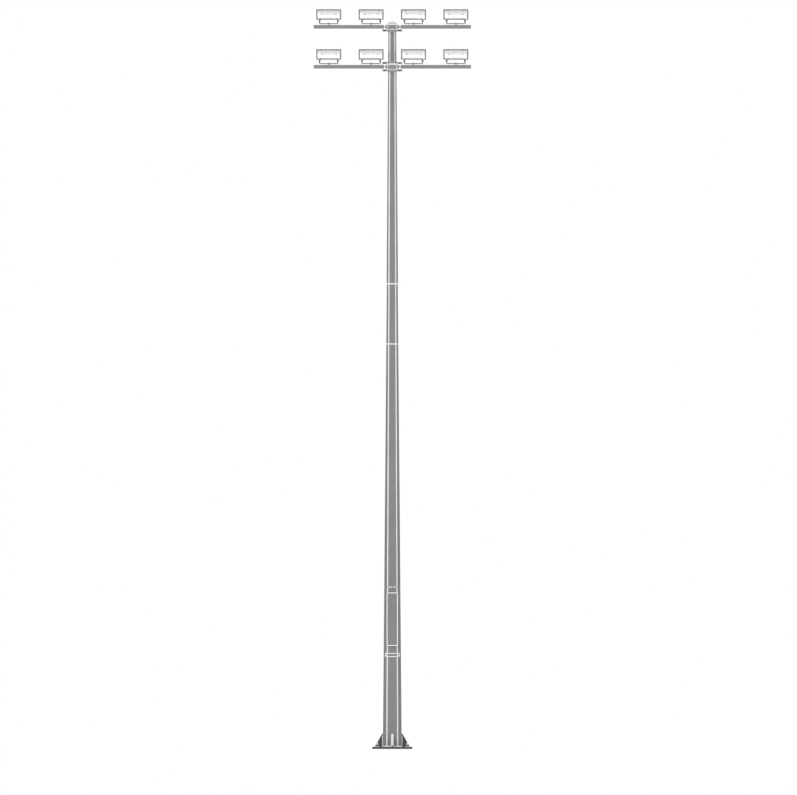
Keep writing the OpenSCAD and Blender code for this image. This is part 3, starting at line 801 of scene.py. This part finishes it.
# %% Plates and U-bolts
BOLT_PITCH, BOLT_CHAMFER = 0.0024, 0.0015
UBOLT_RADIUS, UBOLT_BEND, UBOLT_NUT, UBOLT_TAIL = 0.009, 0.015, 0.0155, 0.03
UBOLT_SIDES, UBOLT_NUT_TALL, BEND_STEPS = 20, 0.014, 6
PACKING_OUTLINE = ((-0.182, -0.039), (0.182, -0.039), (0.182, 0.039), (-0.182, 0.039))
PLATE_OUTLINE = (
    (-0.172, 0), (-0.13, -0.04), (0.13, -0.04), (0.172, 0), (0.13, 0.04), (-0.13, 0.04),
)
PACKING_THICK, PLATE_THICK = 0.003, 0.008
PACKING_ROUNDING, PLATE_ROUNDING = 0.0005, 0.0015


def add_plate(shape, outline, thick, place_at, rounding):
    """Adds a plate with an outline of (x, z) corners, standing with its back on its place."""
    verts = add_prism(shape, [(x, 0, z) for x, z in outline], (0, -thick, 0), place_at)
    edges = {e for v in verts for e in v.link_edges}
    bmesh.ops.bevel(shape, geom=list(edges), offset=rounding, segments=BLOCK_STEPS, profile=0.5,
                    affect="EDGES", material=-1)


def add_ubolt(shape, x, tube_low, tube_high, back_y):
    """Adds a square U-bolt round a tube, with its nuts behind the plate whose back is at back_y."""
    low, high = tube_low.z - UBOLT_RADIUS, tube_high.z + UBOLT_RADIUS
    front = tube_low.y - PACKING_THICK - PLATE_THICK - UBOLT_RADIUS
    nut_y = back_y + UBOLT_NUT_TALL
    made = bmesh.ops.create_circle(shape, cap_ends=True, segments=UBOLT_SIDES, radius=UBOLT_RADIUS,
                                   matrix=at(x, nut_y, high, TO_FRONT))
    bend_y = front + UBOLT_BEND
    steps = [
        ("run", (0, bend_y - nut_y, 0)), ("turn", (x, bend_y, high - UBOLT_BEND)),
        ("run", (0, 0, low - high + 2 * UBOLT_BEND)), ("turn", (x, bend_y, low + UBOLT_BEND)),
        ("run", (0, nut_y - bend_y, 0)),
    ]
    face = made["verts"][0].link_faces[0]
    for kind, value in steps:
        if kind == "run":
            grown = bmesh.ops.extrude_face_region(shape, geom=[face])["geom"]
            ahead = next(g for g in grown if isinstance(g, bmesh.types.BMFace))
            bmesh.ops.translate(shape, verts=ahead.verts[:], vec=value)
        else:
            spun = bmesh.ops.spin(shape, geom=[face], cent=value, axis=(1, 0, 0),
                                  angle=math.pi / 2, steps=BEND_STEPS)
            ahead = next(g for g in spun["geom_last"] if isinstance(g, bmesh.types.BMFace))
        face = ahead
    discs = [f for f in shape.faces if len(f.verts) == UBOLT_SIDES]
    inner = [f for f in discs if any(len(e.link_faces) > 2 for e in f.edges)]
    bmesh.ops.delete(shape, geom=inner, context="FACES_ONLY")
    for z in (low, high):
        nut_place = at(x, nut_y, z, TO_FRONT)
        add_round(shape, UBOLT_NUT, UBOLT_NUT_TALL, nut_place, HEXAGON, BOLT_CHAMFER)
        tail = at(x, back_y + UBOLT_TAIL, z, TO_FRONT)
        add_thread(shape, UBOLT_RADIUS, UBOLT_TAIL - UBOLT_NUT_TALL, tail, BOLT_PITCH)


print("plate and U-bolt helpers ready")

# %% [markdown]
# ## Clamps
# Each crossarm hangs on a clamp: two halves round the shaft, drawn together by bolts through their
# ears, with a dark bar washer under each head and each nut. Their heights are read from the packed
# clamps, and the U-bolts' from the tubes.

# %% Clamp bolts and U-bolts
EAR_FRONT, EAR_BOLT_X, UBOLT_X = 0.014, 0.163, 0.099
BAND_TALL, SADDLE_THICK = 0.05, 0.012
BAR_WASHER, BAR_ROUNDING = (0.084, 0.005, 0.024), 0.001
BOLT_RADIUS, HEAD_RADIUS, HEAD_TALL, BOLT_TAIL = 0.009, 0.0165, 0.011, 0.03
head_y = EAR_FRONT + BAR_WASHER[1]
nut_y = head_y + HEAD_TALL


def add_clamp_bolt(bars, bolts, x, z):
    """Adds a bolt through a pair of ears, with its nut, and a bar washer on either side."""
    for front in (-1, 1):
        face_y = front * (EAR_FRONT + BAR_WASHER[1] / 2)
        add_block(bars, BAR_WASHER, at(x, face_y, z), BAR_ROUNDING)
    for y in (-head_y, nut_y):
        add_round(bolts, HEAD_RADIUS, HEAD_TALL, at(x, y, z, TO_FRONT), HEXAGON, BOLT_CHAMFER)
    add_round(bolts, BOLT_RADIUS, nut_y + head_y, at(x, nut_y, z, TO_FRONT))
    tail = at(x, head_y + BOLT_TAIL, z, TO_FRONT)
    add_thread(bolts, BOLT_RADIUS, BOLT_TAIL - HEAD_TALL, tail, BOLT_PITCH)


for row in ("upper", "lower"):
    band_low, band_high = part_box(row + "_clamp_back")
    tube_low, tube_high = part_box(row + "_crossarm")
    saddle_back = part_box(row + "_clamp_front")[0].y + SADDLE_THICK
    front_y, mid_z = tube_low.y, (tube_low.z + tube_high.z) / 2
    bars, bolts, ubolts, packing, plate = (bmesh.new() for _ in range(5))
    for side in (-1, 1):
        for z in (band_low.z + BAND_TALL / 2, band_high.z - BAND_TALL / 2):
            add_clamp_bolt(bars, bolts, side * EAR_BOLT_X, z)
        add_ubolt(ubolts, side * UBOLT_X, tube_low, tube_high, saddle_back)
    sheet_place = at(0, front_y, mid_z)
    plate_place = at(0, front_y - PACKING_THICK, mid_z)
    add_plate(packing, PACKING_OUTLINE, PACKING_THICK, sheet_place, PACKING_ROUNDING)
    add_plate(plate, PLATE_OUTLINE, PLATE_THICK, plate_place, PLATE_ROUNDING)
    new_piece(row + "_packing_sheet", packing, "bright_zinc", "mast")
    new_piece(row + "_front_plate", plate, "arm_zinc", "mast")
    new_piece(row + "_bar_washers", bars, "label_dark", "mast")
    new_piece(row + "_clamp_bolts", bolts, "bolt_coating", "mast")
    new_piece(row + "_u_bolts", ubolts, "bright_zinc", "mast")
print("clamp bolts made for both crossarms")

# %% [markdown]
# ## The access door
# A rubber gasket lies on the frame's edge, where the closed leaf presses on it, and a bright strip
# edges the leaf; its bright zinc also serves as a painted highlight along the leaf's folded edge.
# Both are flat rounded frames: a grid face with rounded corners, inset and extruded. The gasket
# stays on the mast when the door swings, and the strip goes with the door.
# Both lean with the shaft's tapered front.

# %% Door gasket and edging
frame_low, frame_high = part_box("door_frame")
leaf_low, leaf_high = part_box("door_leaf")
door_z = (frame_low.z + frame_high.z) / 2
on_flat = at(0, -shaft_half("lower", door_z), door_z, Matrix.Rotation(-lean, 4, "X"))
FRAME_PROUD, LEAF_FACE = 0.025, 0.034
GASKET_WIDE, GASKET_THICK, GASKET_CORNER = 0.009, 0.0046, 0.024
EDGING_WIDE, EDGING_THICK, EDGING_CORNER = 0.02, 0.002, 0.033

shape = bmesh.new()
frame_size = frame_high - frame_low
frame_tall = frame_size.z - frame_size.y * math.sin(lean)
add_frame(shape, frame_size.x - EDGE, frame_tall - 2 * EDGE, GASKET_WIDE, GASKET_THICK,
          GASKET_CORNER, on_flat @ at(0, -FRAME_PROUD, 0))
new_piece("door_gasket", shape, "black_rubber", "mast")

# The edging's bright zinc is partly a real trim and partly a painted highlight along the leaf's edge.
shape = bmesh.new()
leaf_wide, leaf_tall = 2 * leaf_high.x, leaf_high.z - leaf_low.z
add_frame(shape, leaf_wide - EDGE, leaf_tall - 2 * EDGE, EDGING_WIDE, EDGING_THICK,
          EDGING_CORNER, on_flat @ at(0, -LEAF_FACE, 0))
new_piece("door_edging", shape, "bright_zinc", "door")
print("door leaf is", round(leaf_wide, 3), "by", round(leaf_tall, 3), "m")

# %% [markdown]
# ## The name plate
# The plate is riveted to the shaft and is bare. A dark blank strip marks its middle, and four domed
# rivets hold it.

# %% Name plate
plate_low, plate_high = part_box("name_plate")
plate_mid = (plate_low.z + plate_high.z) / 2
STRIP, STRIP_ROUNDING = (0.204, 0.0012, 0.03), 0.0004
RIVET_X, RIVET_Z, RIVET_RADIUS, RIVET_FLATNESS = 0.088, 0.03, 0.0055, 0.5
RIVET_SIDES, RIVET_RINGS = 20, 10
plate_y = plate_low.y + math.tan(lean) * (plate_mid - plate_low.z)
plate_face = at(0, plate_y, plate_mid, Matrix.Rotation(-lean, 4, "X"))
shape = bmesh.new()
add_block(shape, STRIP, plate_face, STRIP_ROUNDING)
new_piece("name_plate_strip", shape, "label_dark", "mast")

squash = Matrix.Diagonal((1, RIVET_FLATNESS, 1, 1))
shape = bmesh.new()
for x in (-RIVET_X, RIVET_X):
    for z in (-RIVET_Z, RIVET_Z):
        bmesh.ops.create_uvsphere(
            shape, u_segments=RIVET_SIDES, v_segments=RIVET_RINGS, radius=RIVET_RADIUS,
            matrix=plate_face @ at(x, 0, z) @ squash,
        )
new_piece("name_plate_rivets", shape, "lock_metal", "mast")
print("name plate is", round(plate_high.x - plate_low.x, 3), "m wide")

# %% [markdown]
# ## Inside the floodlights
# Behind each glass lies a pan of bright dimpled aluminium with a lamp along its middle. The pan is
# one face that is inset twice, each time further back, so that its sides slope and throw the light
# forward.

# %% Reflector and lamp
LIP_BACK, REFLECTOR_SHEET = 0.0145, 0.001
REFLECTOR_STEPS = ((0.05, 0.028), (0.02, 0.005))
PAN_FOLD, PAN_FOLD_STEPS = 0.006, 3
LAMP_BACK, LAMP_HALF, LAMP_RADIUS = 0.033, 0.13, 0.0085
HOLDER_RADIUS, HOLDER_LONG, HOLDER_ROUNDING = 0.012, 0.04, 0.001
LAMP_CHAMFER = 0.002


def make_reflector(tag, centre, half_wide, half_tall):
    """Pan of bright sheet behind the glass, with sloping sides and a flat back."""
    shape = bmesh.new()
    size = Matrix.Diagonal((half_wide, half_tall, 1, 1))
    bmesh.ops.create_grid(shape, x_segments=1, y_segments=1, size=1.0, matrix=TO_FRONT @ size)
    back = shape.faces[:]
    for inwards, deeper in REFLECTOR_STEPS:
        bmesh.ops.inset_region(shape, faces=back, thickness=inwards, depth=-deeper,
                               use_even_offset=True, use_boundary=True)
    bends = [e for e in shape.edges if not e.is_boundary]
    bmesh.ops.bevel(shape, geom=bends, offset=PAN_FOLD, segments=PAN_FOLD_STEPS, profile=0.5,
                    affect="EDGES", material=-1)
    bmesh.ops.solidify(shape, geom=shape.faces[:], thickness=REFLECTOR_SHEET)
    bmesh.ops.translate(shape, verts=shape.verts[:], vec=centre + Vector((0, LIP_BACK, 0)))
    new_piece("reflector_" + tag, shape, "reflector_metal", "head_" + tag)


def make_lamp(tag, centre):
    """Clear tubular lamp in two ceramic holders, which stand on the back of the pan."""
    shape = bmesh.new()
    y = centre.y + LAMP_BACK
    pan_back = centre.y + LIP_BACK + sum(deeper for _, deeper in REFLECTOR_STEPS)
    lamp_end = at(centre.x - LAMP_HALF, y, centre.z, TO_RIGHT)
    add_round(shape, LAMP_RADIUS, 2 * LAMP_HALF, lamp_end, ROUND_SIDES, LAMP_CHAMFER)
    new_piece("lamp_tube_" + tag, shape, "lamp_glass", "head_" + tag)
    shape = bmesh.new()
    for side in (-1, 1):
        left_end = centre.x + side * (LAMP_HALF + HOLDER_LONG / 2) - HOLDER_LONG / 2
        holder_end = at(left_end, y, centre.z, TO_RIGHT)
        add_round(shape, HOLDER_RADIUS, HOLDER_LONG, holder_end, ROUND_SIDES, LAMP_CHAMFER)
        foot = (HOLDER_LONG / 2, pan_back - y, HOLDER_RADIUS)
        foot_place = at(left_end + HOLDER_LONG / 2, (y + pan_back) / 2, centre.z)
        add_block(shape, foot, foot_place, HOLDER_ROUNDING)
    new_piece("lamp_holders_" + tag, shape, "white_ceramic", "head_" + tag)


print("reflector and lamp helpers ready")

# %% [markdown]
# ## Round the floodlights
# A pale seal lies round the glass, and clips with screws hold it in the rim. At the back, the cable
# entry gets its two hexagons and a rubber plug.

# %% Seal, clips and cable entry
SEAL_WIDE, SEAL_THICK, SEAL_CORNER = 0.005, 0.0016, 0.0062
CLIP, CLIP_ROUNDING, CLIP_X = (0.03, 0.002, 0.022), 0.0006, 0.17
SCREW_RADIUS, SCREW_TALL = 0.005, 0.003
ENTRY_RADIUS, ENTRY_NUTS, ENTRY_CHAMFER = 0.0158, ((0.0, 0.009), (0.015, 0.012)), 0.0015
PLUG_RADIUS, PLUG_TALL, PLUG_END, PLUG_CHAMFER = 0.0105, 0.005, 0.0305, 0.001
PLUG_SIDES = 24


def make_seal(tag, centre, wide, tall):
    """Pale silicone seal between the glass and the rim."""
    shape = bmesh.new()
    add_frame(shape, wide, tall, SEAL_WIDE, SEAL_THICK, SEAL_CORNER, Matrix.Translation(centre))
    new_piece("glass_seal_" + tag, shape, "white_ceramic", "head_" + tag)


def make_clips(tag, centre, half_tall, rim_y):
    """Flat clips and screws that hold the glass in the rim."""
    shape = bmesh.new()
    for x in (-CLIP_X, CLIP_X):
        for side in (-1, 1):
            clip_x, clip_z = centre.x + x, centre.z + side * (half_tall + CLIP[2] / 4)
            screw_place = at(clip_x, rim_y - CLIP[1], clip_z, TO_FRONT)
            add_block(shape, CLIP, at(clip_x, rim_y - CLIP[1] / 2, clip_z), CLIP_ROUNDING)
            add_round(shape, SCREW_RADIUS, SCREW_TALL, screw_place, HEXAGON, CLIP_ROUNDING)
    new_piece("glass_clips_" + tag, shape, "lamp_paint", "head_" + tag)


def make_entry(tag, stub):
    """Two hexagons round the stub of the cable entry, and the rubber plug that closes it."""
    shape = bmesh.new()
    for back, tall in ENTRY_NUTS:
        nut_place = at(stub.x, stub.y + back + tall, stub.z, TO_FRONT)
        add_round(shape, ENTRY_RADIUS, tall, nut_place, HEXAGON, ENTRY_CHAMFER)
    new_piece("entry_nuts_" + tag, shape, "lock_metal", "head_" + tag)
    shape = bmesh.new()
    plug_place = at(stub.x, stub.y + PLUG_END, stub.z, TO_FRONT)
    add_round(shape, PLUG_RADIUS, PLUG_TALL, plug_place, PLUG_SIDES, PLUG_CHAMFER)
    new_piece("entry_plug_" + tag, shape, "black_rubber", "head_" + tag)


print("seal, clip and entry helpers ready")

# %% [markdown]
# ## Dressing the floodlights
# Each floodlight's pieces are made where its glass is, and ride on its head, so that they turn and
# tilt with it. The cable entry is placed from the head's tilt joint.

# %% Floodlight pieces
REFLECTOR_LAP = 0.004
BACK_WALL, ENTRY_DROP = 0.13, 0.04
tags = [name.removeprefix("tilt_") for name in joints if name.startswith("tilt_")]
for tag in tags:
    glass_low, glass_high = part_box("glass_" + tag)
    rim_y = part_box("housing_" + tag)[0].y
    half = (glass_high - glass_low) / 2
    face = Vector((glass_low.x + half.x, glass_low.y, glass_low.z + half.z))
    make_reflector(tag, face, half.x - REFLECTOR_LAP, half.z - REFLECTOR_LAP)
    make_lamp(tag, face)
    make_seal(tag, face, 2 * half.x, 2 * half.z)
    make_clips(tag, face, half.z, rim_y)
    pivot_y = joints["tilt_" + tag]["pos_m"][1]
    make_entry(tag, Vector((face.x, pivot_y + BACK_WALL, face.z - ENTRY_DROP)))
print("dressed", len(tags), "floodlights, glass", [round(v, 3) for v in 2 * half], "m")
